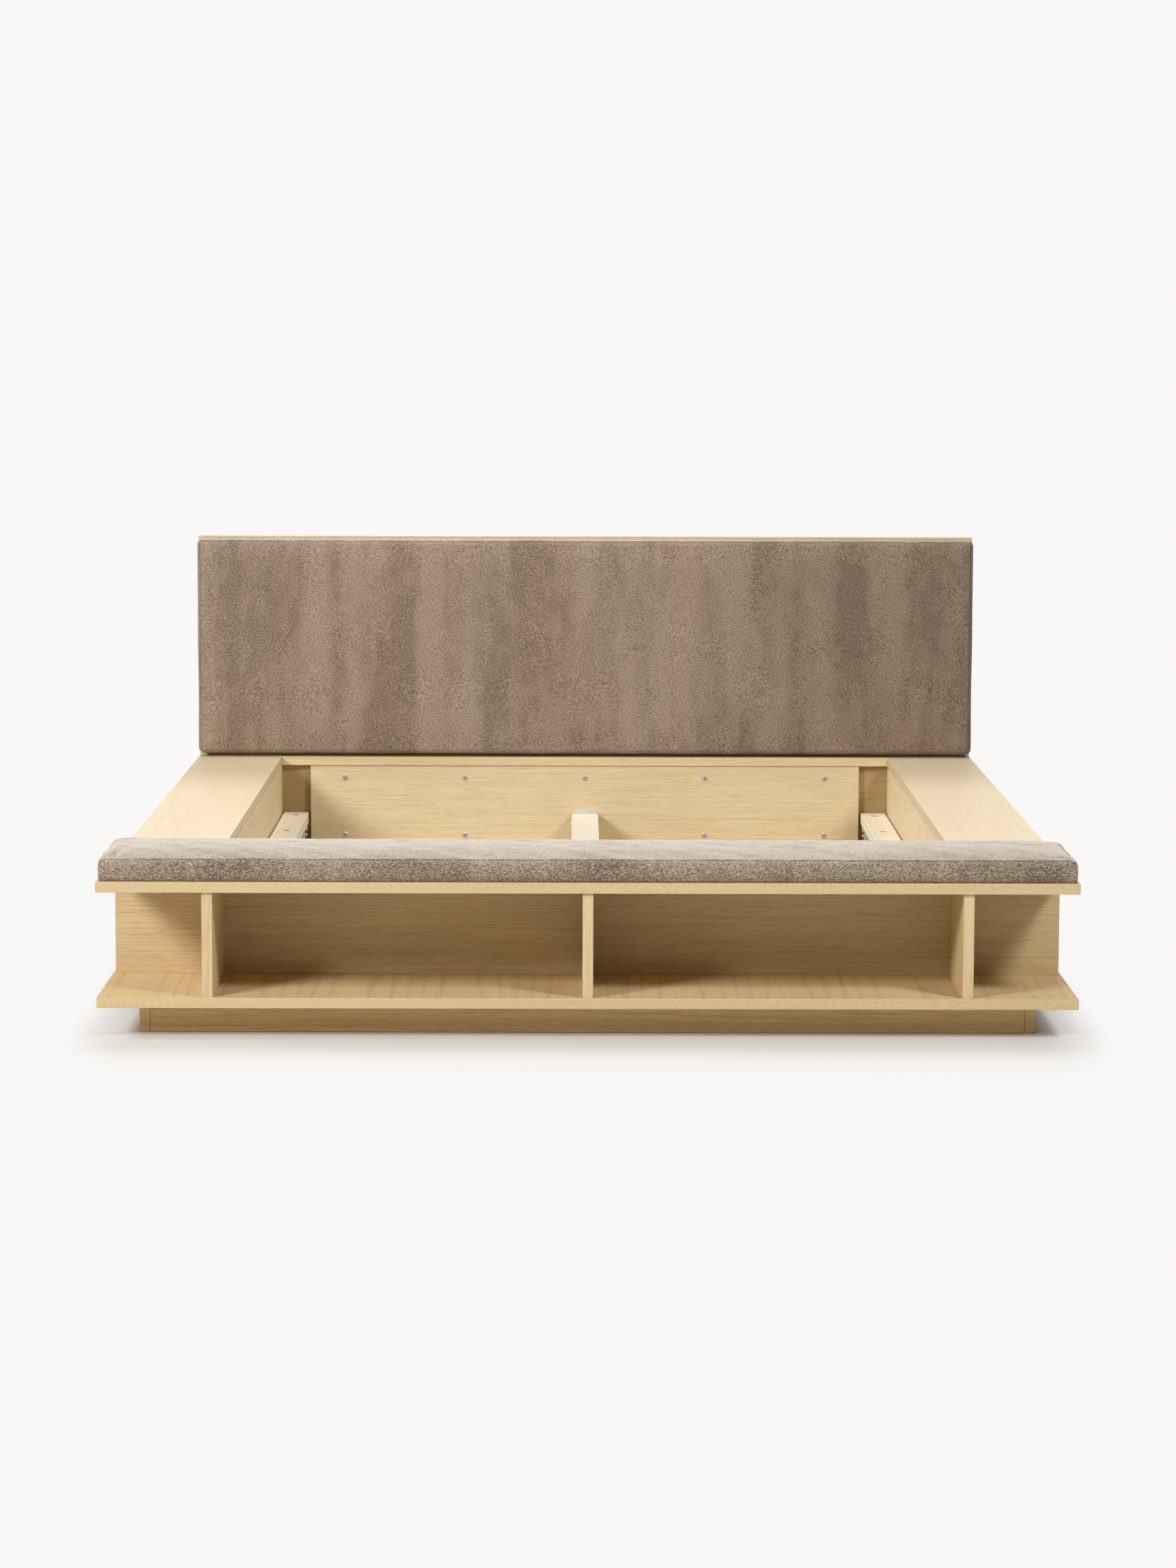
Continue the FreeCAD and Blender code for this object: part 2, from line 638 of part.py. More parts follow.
def centre_beam():
    """Beam down the middle of the recess: it drops over pins in two shoes and stands on one leg."""
    head_shoe, head_pins, head_screws = beam_shoe(connector_front, 1)
    foot_shoe, foot_pins, foot_screws = beam_shoe(recess_foot, -1)
    save("beam_shoe_head", head_shoe)
    save("beam_shoe_foot", foot_shoe)
    save("shoe_pins", head_pins + foot_pins)
    save("shoe_screws", head_screws + foot_screws)

    half = beam_width / 2
    beam = plank((-half, half), (beam_foot, beam_head), (beam_under, rail_top))
    holes, bolts = [], []
    for pin in head_pins + foot_pins:
        centre = pin.CenterOfMass
        holes.append(rod(seat_pin_r + hole_clear, Vector(centre.x, centre.y, beam_under - cut_past), Z_AXIS,
                         seat_pin_rise + cut_past + 2 * hole_clear))
    for y in (beam_foot + cross_bolt_from_end, beam_head - cross_bolt_from_end):
        seat = Vector(-half, y, rail_top - cross_bolt_drop)
        bolts.append(pan_bolt(seat, X_AXIS, cross_bolt_head_r, cross_bolt_head_height,
                              cross_bolt_r, beam_width))
        before = seat - X_AXIS * cut_past
        holes.append(rod(cross_bolt_r + fit_clear, before, X_AXIS, beam_width + 2 * cut_past))
    save("beam_cross_bolts", bolts)

    stud_low = beam_under - stud_reach
    top = Vector(0, recess_mid, stud_low)
    holes.append(rod(stud_r + fit_clear, top, Z_AXIS, 2 * stud_reach + hole_clear))
    save("centre_beam", cut_all(beam, holes))
    save("leg_stud", rod(stud_r, top, Z_AXIS, 2 * stud_reach))
    leg = rod(leg_r, Vector(0, recess_mid, leg_under), Z_AXIS, beam_under - leg_under)
    leg = leg.makeFillet(edge_round, [edge for edge in leg.Edges if edge.Closed])
    stem_top = foot_height + foot_stem_length
    floor_point = Vector(0, recess_mid, 0)
    stem_room = stem_top + foot_travel + hole_clear
    leg_holes = [rod(stud_r + fit_clear, top - Z_AXIS * hole_clear, Z_AXIS, 2 * stud_reach),
                 rod(foot_stem_r + fit_clear, floor_point, Z_AXIS, stem_room)]
    save("centre_leg", cut_all(leg, leg_holes))
    sole = [(0, 0), (foot_r - edge_round, 0), (foot_r, edge_round)]
    shoulder = [(foot_r, foot_rim), (foot_neck_r, foot_height), (foot_stem_r, foot_height)]
    stem = [(foot_stem_r, stem_top), (0, stem_top)]
    save("levelling_foot", turned(sole + shoulder + stem, floor_point, Z_AXIS))


def cushion_section(x, draw, lift):
    """Cross section of the cushion: flat underside, bulging front and back, crowned top with shoulders."""
    low = deck_top
    high = deck_top + cushion_seam_height - draw
    front = foot + cushion_front_gap + draw
    rear = foot + cushion_front_gap + cushion_depth - draw
    bulge = cushion_side_bulge
    middle_y, middle_z = (front + rear) / 2, (low + high) / 2
    corners = [Vector(x, front + bulge, low), Vector(x, rear - bulge, low),
               Vector(x, rear - bulge, high), Vector(x, front + bulge, high)]
    shoulder_rise = (cushion_crown - cushion_shoulder_drop) * lift
    rear_shoulder = corners[2] + Vector(0, -cushion_shoulder_run, shoulder_rise)
    front_shoulder = corners[3] + Vector(0, cushion_shoulder_run, shoulder_rise)
    rounding = Vector(0, 0, cushion_shoulder_round * lift)
    crown = Vector(x, middle_y, high + cushion_crown * lift)
    edges = [Part.LineSegment(corners[0], corners[1]).toShape(),
             Part.Arc(corners[1], Vector(x, rear, middle_z), corners[2]).toShape(),
             Part.Arc(corners[2], (corners[2] + rear_shoulder) / 2 + rounding, rear_shoulder).toShape(),
             Part.Arc(rear_shoulder, crown, front_shoulder).toShape(),
             Part.Arc(front_shoulder, (corners[3] + front_shoulder) / 2 + rounding, corners[3]).toShape(),
             Part.Arc(corners[3], Vector(x, front, middle_z), corners[0]).toShape()]
    return Part.Wire(edges)


def bench_cushion():
    """Loose seat cushion: full in the middle, rounded off and drawn in at the end seams."""
    end = half_width - cushion_end_gap
    stations = [(end, cushion_end_draw, cushion_end_lift),
                (end - cushion_end_round, cushion_round_draw, cushion_round_lift),
                (end - cushion_corner_run, 0.0, 1.0)]
    left = [(-x, draw, lift) for x, draw, lift in stations]
    sections = [cushion_section(*station) for station in left + stations[::-1]]
    save("bench_cushion", Part.makeLoft(sections, True, True))


os.makedirs("parts", exist_ok=True)
plinth()
bench()
side_boxes()
head_end()
support_rails()
centre_beam()
bench_cushion()
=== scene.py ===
import math

import bpy
import numpy as np
from mathutils import Matrix, Vector


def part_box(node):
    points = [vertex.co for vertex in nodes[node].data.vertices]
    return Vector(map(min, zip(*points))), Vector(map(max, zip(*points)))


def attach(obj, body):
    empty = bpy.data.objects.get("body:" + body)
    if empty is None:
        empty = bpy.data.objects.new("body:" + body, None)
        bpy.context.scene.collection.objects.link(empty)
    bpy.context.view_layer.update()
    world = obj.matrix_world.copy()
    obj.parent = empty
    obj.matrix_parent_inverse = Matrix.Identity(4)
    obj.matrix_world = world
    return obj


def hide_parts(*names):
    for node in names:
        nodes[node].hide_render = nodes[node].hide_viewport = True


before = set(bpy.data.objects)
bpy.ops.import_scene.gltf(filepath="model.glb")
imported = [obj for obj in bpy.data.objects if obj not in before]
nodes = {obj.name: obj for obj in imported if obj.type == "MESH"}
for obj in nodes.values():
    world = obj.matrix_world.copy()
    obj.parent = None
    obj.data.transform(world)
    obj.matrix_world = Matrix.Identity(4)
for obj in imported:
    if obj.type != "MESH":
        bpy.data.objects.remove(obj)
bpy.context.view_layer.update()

X, Y, Z = (1.0, 0.0, 0.0), (0.0, 1.0, 0.0), (0.0, 0.0, 1.0)


class Tree:
    """Adds nodes to a node tree and links them."""

    def __init__(self, tree):
        self.tree = tree

    def feed(self, socket, value):
        if isinstance(value, bpy.types.NodeSocket):
            self.tree.links.new(value, socket)
        elif isinstance(value, tuple) and len(value) == 3 and socket.type == "RGBA":
            socket.default_value = (*value, 1.0)
        else:
            socket.default_value = value

    def node(self, kind, inputs=None, **settings):
        made = self.tree.nodes.new(kind)
        for name, value in settings.items():
            setattr(made, name, value)
        for name, value in (inputs or {}).items():
            self.feed(made.inputs[name], value)
        return made

    def math(self, operation, *values):
        return self.node("ShaderNodeMath", dict(enumerate(values)), operation=operation).outputs[0]

    def vector(self, operation, *values):
        made = self.node("ShaderNodeVectorMath", dict(enumerate(values)), operation=operation)
        return made.outputs["Value" if operation in ("DOT_PRODUCT", "LENGTH") else "Vector"]

    def scale(self, value, factor):
        made = self.node("ShaderNodeVectorMath", {0: value, "Scale": factor}, operation="SCALE")
        return made.outputs["Vector"]

    def join(self, *values):
        return self.node("ShaderNodeCombineXYZ", dict(enumerate(values))).outputs[0]

    def split(self, value):
        return self.node("ShaderNodeSeparateXYZ", {0: value}).outputs

    def noise(self, vector, scales, detail=2.0, roughness=0.5):
        """Noise from 0 to 1, with scales in waves per metre along each part of the vector."""
        stretched = self.vector("MULTIPLY", vector, scales)
        made = self.node("ShaderNodeTexNoise", {"Vector": stretched, "Scale": 1.0, "Detail": detail,
                                                "Roughness": roughness})
        return made.outputs["Fac"]

    def step(self, value, low, high, start=0.0, end=1.0):
        """Smooth step from start, where the value is low, to end, where it is high."""
        made = self.node("ShaderNodeMapRange", {"Value": value, "From Min": low, "From Max": high,
                                                "To Min": start, "To Max": end},
                         interpolation_type="SMOOTHSTEP")
        return made.outputs["Result"]

    def mix(self, factor, first, second, blend="MIX"):
        inputs = {0: factor, 6: first, 7: second}
        return self.node("ShaderNodeMix", inputs, data_type="RGBA", blend_type=blend).outputs[2]

    def place(self):
        return self.node("ShaderNodeTexCoord").outputs["Object"]

    def bump(self, height, strength, distance):
        made = self.node("ShaderNodeBump", {"Strength": strength, "Distance": distance, "Height": height})
        return made.outputs["Normal"]


def new_material(name):
    material = bpy.data.materials.new(name)
    material.use_nodes = True
    material.node_tree.nodes.clear()
    return material, Tree(material.node_tree)


def finish_material(tree, inputs):
    shader = tree.node("ShaderNodeBsdfPrincipled", inputs)
    tree.node("ShaderNodeOutputMaterial", {"Surface": shader.outputs["BSDF"]})


def dress(node, material):
    """Give a CAD node its material."""
    for material_slot in nodes[node].material_slots:
        material_slot.material = material


# Noise of the wood, in waves per metre along the grain, across it and through the board.
WOBBLE_WAVES = (1.3, 7.0, 7.0)
KNOT_CELLS = (1.9, 8.0, 8.0)
LINE_WAVES = (14.0, 260.0, 260.0)
BLOTCH_WAVES = (0.9, 4.0, 4.0)
STREAK_WAVES = (3.2, 130.0, 130.0)
FIBRE_WAVES = (12.0, 460.0, 460.0)
PORE_WAVES = (38.0, 820.0, 820.0)
WEAR_WAVES = (30.0, 30.0, 30.0)

# Shift between two boards, in metres for each unit of seed.
SEED_SHIFT = (1.73, 0.61, 0.37)

# Growth rings: how far a line wanders, how deep the heart lies, and how rings change on end faces.
LINE_WANDER = 0.03
END_WANDER = 0.30
HEART_RANGE = 0.05
HEART_LEAST = 0.015
END_SLANT = 0.6
END_SLANT_TURN = 0.35
END_CLOSER = 0.60
END_FAINTER = 0.35
KNOT_PUSH = 0.02

PORE_BROWN = (0.27, 0.15, 0.06)
KNOT_BROWN = (0.36, 0.17, 0.07)
# Brown of the painted shade in holes and along joints.
PAINTED_SHADE_BROWN = (0.16, 0.09, 0.04)

BOARD_INPUTS = {
    "Vector": ("Grain", "Across", "Depth", "End Grain", "End Across", "Low", "High"),
    "Float": ("Seed", "Leaf", "Heart", "Ring", "Figure", "Tilt", "Streak", "Joint Shade", "Knots"),
    "Color": ("Pale", "Dark"),
}
BOARD_OUTPUTS = {"Color": ("Colour",), "Float": ("Roughness", "Height")}


def board_group():
    """Sawn wood: growth rings, streaks, fibres, pores, knots and softened arrises, run along a given axis."""
    group = bpy.data.node_groups.new("sawn_board", "ShaderNodeTree")
    for direction, sockets in (("INPUT", BOARD_INPUTS), ("OUTPUT", BOARD_OUTPUTS)):
        for kind, names in sockets.items():
            for name in names:
                group.interface.new_socket(name=name, in_out=direction, socket_type="NodeSocket" + kind)
    t = Tree(group)
    given = t.node("NodeGroupInput").outputs
    place = t.place()
    normal = t.node("ShaderNodeNewGeometry").outputs["True Normal"]

    def along(axis):
        return t.vector("DOT_PRODUCT", place, given[axis])

    # Position in the board's own directions, with those of the end face where the surface is one.
    facing = t.math("ABSOLUTE", t.vector("DOT_PRODUCT", normal, given["Grain"]))
    end_face = t.math("GREATER_THAN", facing, 0.5)
    main = t.join(along("Grain"), along("Across"), along("Depth"))
    end = t.join(along("End Grain"), along("End Across"), along("Grain"))
    local = t.node("ShaderNodeMix", {0: end_face, 4: main, 5: end}, data_type="VECTOR").outputs[1]
    q = t.vector("ADD", local, t.scale(SEED_SHIFT, given["Seed"]))
    lengthwise, across, depth = t.split(q)

    # Distance from the tree's heart, which turns into growth lines.
    wobble = t.math("SUBTRACT", t.noise(q, WOBBLE_WAVES, 3.0), 0.5)
    leaf = t.math("PINGPONG", t.math("MULTIPLY_ADD", wobble, LINE_WANDER, across), given["Leaf"])
    from_heart = t.math("ADD", t.math("MULTIPLY_ADD", given["Leaf"], -0.5, leaf), given["Heart"])
    below = t.math("ADD", t.math("PINGPONG", depth, HEART_RANGE), HEART_LEAST)
    squares = t.math("ADD", t.math("MULTIPLY", from_heart, from_heart), t.math("MULTIPLY", below, below))
    radius = t.math("SQRT", squares)
    slant = t.math("MULTIPLY", t.math("PINGPONG", lengthwise, END_SLANT_TURN),
                   t.math("MULTIPLY", end_face, END_SLANT))
    tilted = t.math("ADD", t.math("MULTIPLY_ADD", lengthwise, given["Tilt"], radius), slant)
    turned = t.math("MULTIPLY_ADD", wobble, t.math("MULTIPLY_ADD", end_face, END_WANDER, LINE_WANDER), tilted)

    cells = t.vector("MULTIPLY", q, KNOT_CELLS)
    from_knot = t.node("ShaderNodeTexVoronoi", {"Vector": cells, "Scale": 1.0}).outputs["Distance"]
    swirl = t.math("MULTIPLY", t.step(from_knot, 0.45, 0.0), given["Knots"])
    turned = t.math("MULTIPLY_ADD", swirl, KNOT_PUSH, turned)
    spacing = t.math("MULTIPLY", given["Ring"], t.math("MULTIPLY_ADD", end_face, -END_CLOSER, 1.0))
    ring = t.math("FRACT", t.math("DIVIDE", turned, spacing))
    line = t.math("MULTIPLY", t.step(ring, 0.0, 0.45, 1.0, 0.0), t.step(ring, 0.0, 0.08))
    line = t.math("MULTIPLY", line, t.noise(q, LINE_WAVES, 2.0))
    strength = t.math("MULTIPLY", given["Figure"], t.math("MULTIPLY_ADD", end_face, -END_FAINTER, 1.0))
    line = t.math("MULTIPLY", line, strength)

    blotch = t.noise(q, BLOTCH_WAVES, 2.0)
    streak = t.noise(q, STREAK_WAVES, 4.0, 0.66)
    fibre = t.noise(q, FIBRE_WAVES, 3.0, 0.6)
    pore = t.step(t.noise(q, PORE_WAVES, 1.0), 0.56, 0.70)
    grainy = t.math("MULTIPLY_ADD", t.math("SUBTRACT", fibre, 0.5), 0.6, t.math("SUBTRACT", streak, 0.5))
    tone = t.math("MULTIPLY_ADD", grainy, given["Streak"], t.math("MULTIPLY_ADD", blotch, 0.5, 0.10))
    tone = t.math("MULTIPLY_ADD", line, 0.9, tone)
    colour = t.mix(t.step(tone, 0.0, 1.0), given["Pale"], given["Dark"])
    pitted = t.math("MULTIPLY", t.math("MULTIPLY", pore, given["Streak"]), t.math("ADD", line, 0.45))
    colour = t.mix(t.math("MULTIPLY", pitted, 0.45), colour, PORE_BROWN)
    knot = t.math("MULTIPLY", t.step(from_knot, 0.10, 0.05), given["Knots"])
    colour = t.mix(knot, colour, KNOT_BROWN)

    # Depth inside the board's box: painted shade in holes and along joints, worn pale along the arrises.
    from_low = t.vector("SUBTRACT", place, given["Low"])
    from_high = t.vector("SUBTRACT", given["High"], place)
    dx, dy, dz = t.split(t.vector("MINIMUM", from_low, from_high))
    least_xy = t.math("MINIMUM", dx, dy)
    second = t.math("MAXIMUM", least_xy, t.math("MINIMUM", t.math("MAXIMUM", dx, dy), dz))
    smallest = t.math("MINIMUM", least_xy, dz)
    # Painted shade: faces inside the box, such as hole walls, and the arrises of boards with a joint weight
    # are darkened.
    painted_hole_shade = t.math("MULTIPLY", t.step(smallest, 0.0008, 0.002), 0.75)
    painted_joint_shade = t.math("MULTIPLY", t.step(second, 0.0016, 0.0006), given["Joint Shade"])
    colour = t.mix(t.math("MAXIMUM", painted_hole_shade, painted_joint_shade), colour, PAINTED_SHADE_BROWN)
    worn = t.math("MULTIPLY", t.step(second, 0.005, 0.0005), t.noise(place, WEAR_WAVES, 2.0))
    colour = t.mix(t.math("MULTIPLY", worn, 0.35), colour, given["Pale"])

    rough = t.math("MULTIPLY_ADD", streak, 0.16, 0.44)
    rough = t.math("MULTIPLY_ADD", pore, 0.12, rough)
    rough = t.math("MULTIPLY_ADD", worn, 0.12, rough)
    height = t.math("MULTIPLY_ADD", fibre, 0.5, t.math("MULTIPLY", streak, 0.3))
    height = t.math("MULTIPLY_ADD", pore, -0.7, t.math("MULTIPLY_ADD", line, -0.4, height))
    t.node("NodeGroupOutput", {"Colour": colour, "Roughness": rough, "Height": height})
    return group


BOARD = board_group()

# Woods: the two ends of the colour range, and how strongly knots and the painted shade along joints show.
OAK = {"Pale": (0.77, 0.603, 0.362), "Dark": (0.57, 0.400, 0.202), "Knots": 0.0, "Joint Shade": 0.0}
PALE_OAK = {**OAK, "Pale": (0.77, 0.640, 0.415), "Dark": (0.59, 0.443, 0.245)}
LEDGE = {**OAK, "Pale": (0.708, 0.595, 0.411), "Dark": (0.543, 0.412, 0.243)}
JOINED = {**OAK, "Pale": (0.86, 0.715, 0.470), "Dark": (0.66, 0.495, 0.280), "Joint Shade": 0.7}
WARM = {**OAK, "Pale": (0.74, 0.570, 0.330), "Dark": (0.54, 0.372, 0.180)}
DEEPER = {**OAK, "Pale": (0.72, 0.570, 0.340), "Dark": (0.53, 0.375, 0.188)}
# Oak darkened as painted shade, for the recessed head-end board.
PAINTED_SHADE_OAK = {**OAK, "Pale": (0.47, 0.340, 0.170), "Dark": (0.34, 0.220, 0.095)}
TOASTED = {"Pale": (0.83, 0.590, 0.300), "Dark": (0.60, 0.385, 0.160), "Knots": 0.0, "Joint Shade": 0.7}
PINE = {"Pale": (0.95, 0.870, 0.715), "Dark": (0.81, 0.685, 0.500), "Knots": 1.0, "Joint Shade": 0.0}
BEECH = {"Pale": (0.70, 0.50, 0.32), "Dark": (0.56, 0.37, 0.22), "Knots": 0.0, "Joint Shade": 0.0}

# Cuts: place of the heart, width of a leaf of veneer and spacing of rings in metres, and strengths.
STRAIGHT = {"Heart": 0.55, "Leaf": 0.5, "Figure": 0.35, "Ring": 0.007, "Tilt": 0.004, "Streak": 1.0}
FLAT_SAWN = {"Heart": 0.0, "Leaf": 0.23, "Figure": 0.6, "Ring": 0.026, "Tilt": 0.012, "Streak": 0.4}
VENEER = {**STRAIGHT, "Figure": 0.5, "Streak": 1.25}
PLAIN = {"Heart": 0.0, "Leaf": 0.3, "Figure": 0.25, "Ring": 0.022, "Tilt": 0.006, "Streak": 0.4}

# Runs: the directions of a board, and those that stand in for them on its end faces.
LYING_Y = {"Grain": Y, "Across": X, "Depth": Z, "End Grain": X, "End Across": Z}
LYING_X = {"Grain": X, "Across": Y, "Depth": Z, "End Grain": Y, "End Across": Z}
PANEL_X = {"Grain": X, "Across": Z, "Depth": Y, "End Grain": Z, "End Across": Y}
PANEL_Y = {"Grain": Y, "Across": Z, "Depth": X, "End Grain": Z, "End Across": X}
UPRIGHT = {"Grain": Z, "Across": Y, "Depth": X, "End Grain": Y, "End Across": X}

# Wood, cut and run of each wooden node. A node's place in this list sets its seed.
WOOD = {
    "bench_shelf": (WARM, FLAT_SAWN, LYING_Y), "bench_top": (DEEPER, FLAT_SAWN, LYING_Y),
    # The back panel takes the darker tone partly as painted shade for the bays.
    "bench_back_panel": (DEEPER, VENEER, PANEL_X),
    "bench_divider_left": (OAK, STRAIGHT, UPRIGHT), "bench_divider_centre": (OAK, STRAIGHT, UPRIGHT),
    "bench_divider_right": (OAK, STRAIGHT, UPRIGHT),
    "platform_left": (LEDGE, PLAIN, LYING_Y), "platform_right": (LEDGE, PLAIN, LYING_Y),
    "base_board_left": (OAK, PLAIN, LYING_Y), "base_board_right": (OAK, PLAIN, LYING_Y),
    "inner_side_left": (JOINED, STRAIGHT, PANEL_Y), "inner_side_right": (JOINED, STRAIGHT, PANEL_Y),
    "outer_side_left": (OAK, STRAIGHT, PANEL_Y), "outer_side_right": (OAK, STRAIGHT, PANEL_Y),
    # The head-end board is darkened as painted shade for its recess.
    "head_connector_panel": (PALE_OAK, STRAIGHT, PANEL_X), "head_end_board": (PAINTED_SHADE_OAK, STRAIGHT, PANEL_X),
    "head_ledge": (OAK, STRAIGHT, LYING_X), "head_base_board": (OAK, STRAIGHT, LYING_X),
    "headboard_panel": (DEEPER, FLAT_SAWN, PANEL_X),
    "plinth_front": (TOASTED, VENEER, PANEL_X), "plinth_rear": (TOASTED, VENEER, PANEL_X),
    "plinth_side_left": (TOASTED, STRAIGHT, PANEL_Y), "plinth_side_right": (TOASTED, STRAIGHT, PANEL_Y),
    "support_rail_left": (PINE, PLAIN, LYING_Y), "support_rail_right": (PINE, PLAIN, LYING_Y),
    "centre_beam": (PINE, PLAIN, LYING_Y), "plinth_corner_blocks": (PINE, PLAIN, UPRIGHT),
    "side_ribs_left": (PINE, PLAIN, PANEL_X), "side_ribs_right": (PINE, PLAIN, PANEL_X),
    "pad_backing": (PINE, FLAT_SAWN, PANEL_X),
    "bench_dowels": (BEECH, PLAIN, UPRIGHT), "side_dowels_left": (BEECH, PLAIN, UPRIGHT),
    "side_dowels_right": (BEECH, PLAIN, UPRIGHT), "centre_leg": (BEECH, PLAIN, UPRIGHT),
}
FIRST_SEED, SEED_STEP = 1.0, 2.37
PLATFORM_COAT = 0.3


def wood(node, seed):
    """Dress one wooden node, with its own run of grain."""
    species, cut, run = WOOD[node]
    low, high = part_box(node)
    material, t = new_material("wood_" + node)
    board = t.node("ShaderNodeGroup", node_tree=BOARD)
    values = {**species, **cut, **run, "Low": tuple(low), "High": tuple(high), "Seed": seed}
    for name, value in values.items():
        t.feed(board.inputs[name], value)
    coat = PLATFORM_COAT if node.startswith("platform") else 0.0
    finish_material(t, {"Base Color": board.outputs["Colour"], "Roughness": board.outputs["Roughness"],
                        "Normal": t.bump(board.outputs["Height"], 0.25, 0.0006),
                        "Specular IOR Level": 0.32, "Coat Weight": coat, "Coat Roughness": 0.45})
    dress(node, material)


def metal(name, pale, dark, rough, rough_range, bump_strength):
    """Plated steel with faint blooming and fine tool marks, with painted shade in its recesses."""
    material, t = new_material(name)
    place = t.place()
    bloom = t.noise(place, (90.0, 90.0, 90.0), 3.0)
    marks = t.noise(place, (500.0, 3000.0, 3000.0), 2.0)
    shade = t.mix(t.step(bloom, 0.3, 0.7), pale, dark)
    # Painted shade: ambient occlusion darkens the colour in recesses such as sockets.
    occlusion = t.node("ShaderNodeAmbientOcclusion", {"Distance": 0.006}, samples=6, only_local=True)
    shade = t.mix(t.step(occlusion.outputs["AO"], 0.75, 0.35), shade, (0.02, 0.02, 0.02))
    level = t.math("MULTIPLY_ADD", bloom, rough_range, rough - rough_range / 2)
    finish_material(t, {"Base Color": shade, "Roughness": level, "Metallic": 1.0,
                        "Normal": t.bump(marks, bump_strength, 0.0002)})
    return material


def plastic():
    """Moulded black plastic with a fine grain."""
    material, t = new_material("black_moulding")
    place = t.place()
    grain = t.noise(place, (900.0, 900.0, 900.0), 2.0)
    cloudy = t.noise(place, (40.0, 40.0, 40.0), 2.0)
    shade = t.mix(cloudy, (0.018, 0.018, 0.019), (0.035, 0.034, 0.033))
    finish_material(t, {"Base Color": shade, "Roughness": t.math("MULTIPLY_ADD", grain, 0.2, 0.4),
                        "Normal": t.bump(grain, 0.2, 0.0002)})
    return material


for number, wooden in enumerate(WOOD):
    wood(wooden, FIRST_SEED + SEED_STEP * number)
nickel = metal("nickel_plate", (0.66, 0.65, 0.63), (0.52, 0.51, 0.49),
               rough=0.30, rough_range=0.15, bump_strength=0.1)
zinc = metal("zinc_plate", (0.72, 0.75, 0.74), (0.58, 0.61, 0.60),
             rough=0.42, rough_range=0.2, bump_strength=0.15)
ZINC_WORDS = ("bracket", "saddle", "pins", "screws", "bolts", "shoe", "nuts", "stud")
dress("levelling_foot", plastic())
for node in nodes:
    if node.startswith(("side_bolts", "connector_")):
        dress(node, nickel)
    elif any(word in node for word in ZINC_WORDS):
        dress(node, zinc)

# Seams of the two covers, in metres. The seat's seam runs round its sides and drops at its ends; the
# pad's runs round its front.
SEAT_SEAM_HEIGHT = 0.0455
SEAT_SEAM_DROP = 0.005
SEAT_STITCH_LOW = 0.0435
PAD_SEAM_INSET = 0.009
PAD_STITCH_LEAST = 0.005
STITCH_WANDER = 0.004


def seat_stitch(t, place):
    """Height above the line of stitches on the seat's sides."""
    low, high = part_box("bench_cushion")
    x, y, z = t.split(place)
    at_end = t.step(t.math("ABSOLUTE", x), high.x - 0.020, high.x - 0.004, 0.0, SEAT_SEAM_DROP)
    uneven = t.noise(place, (9.0, 9.0, 0.0), 2.0)
    wander = t.math("MULTIPLY_ADD", uneven, STITCH_WANDER, low.z + SEAT_STITCH_LOW)
    return t.math("ADD", t.math("SUBTRACT", z, wander), at_end)


def pad_stitch(t, place):
    """Distance inwards from the line of stitches round the pad's front."""
    low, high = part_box("headboard_pad")
    from_low = t.vector("SUBTRACT", place, tuple(low))
    from_high = t.vector("SUBTRACT", tuple(high), place)
    x, y, z = t.split(t.vector("MINIMUM", from_low, from_high))
    uneven = t.noise(place, (8.0, 0.0, 8.0), 2.0)
    wander = t.math("MULTIPLY_ADD", uneven, STITCH_WANDER, PAD_STITCH_LEAST)
    return t.math("SUBTRACT", t.math("MINIMUM", x, z), wander)


# The pile is darker towards the right.
RIGHTWARD_DARKENING = (0.30, 0.28, 0.26)
SHEEN_TINT = (0.93, 0.89, 0.84)


def times(factor, values):
    return tuple(factor * value for value in values)


